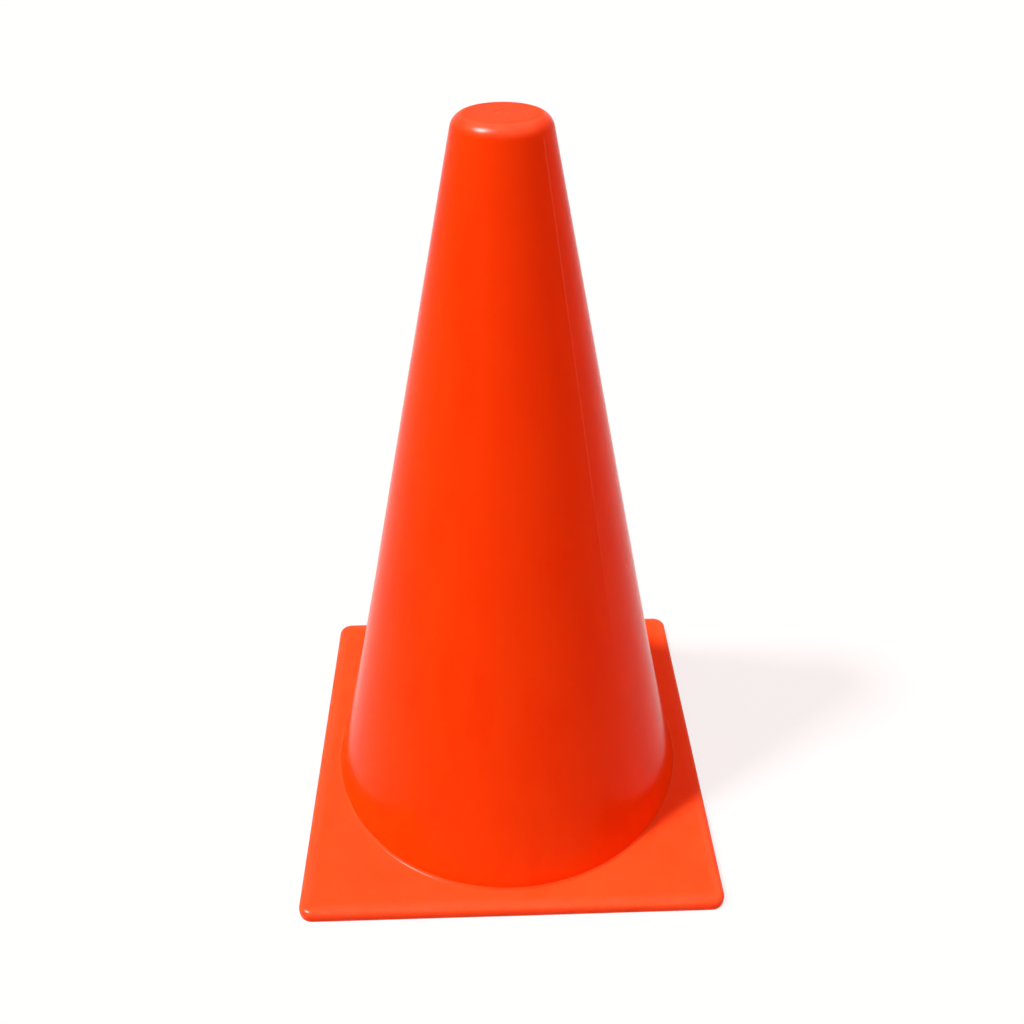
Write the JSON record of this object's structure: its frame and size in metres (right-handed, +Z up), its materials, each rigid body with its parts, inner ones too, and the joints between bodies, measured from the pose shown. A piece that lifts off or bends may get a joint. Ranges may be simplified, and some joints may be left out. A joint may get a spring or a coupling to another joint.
{
  "type": "sports marker cone",
  "caption": "Glossy orange marker cone: a hollow tapered shell with a closed flat tip, snapped by its foot flange into a thin square base with rounded corners.",
  "frame": {"origin": "middle of the base plate's underside, on the ground", "axes": "+Z up along the cone's axis to its tip; X and Y along the sides of the square base, with -Y the side nearest to the camera in the picture"},
  "size_m": [0.182, 0.182, 0.305],
  "materials": {
    "shell_plastic": "glossy moulded polyethylene, bright orange, lightly rippled",
    "plate_plastic": "glossy moulded polyethylene, bright orange, faint sink marks"
  },
  "bodies": {
    "root": {"cone_shell": "shell_plastic", "base_plate": "plate_plastic"}
  },
  "joints": []
}
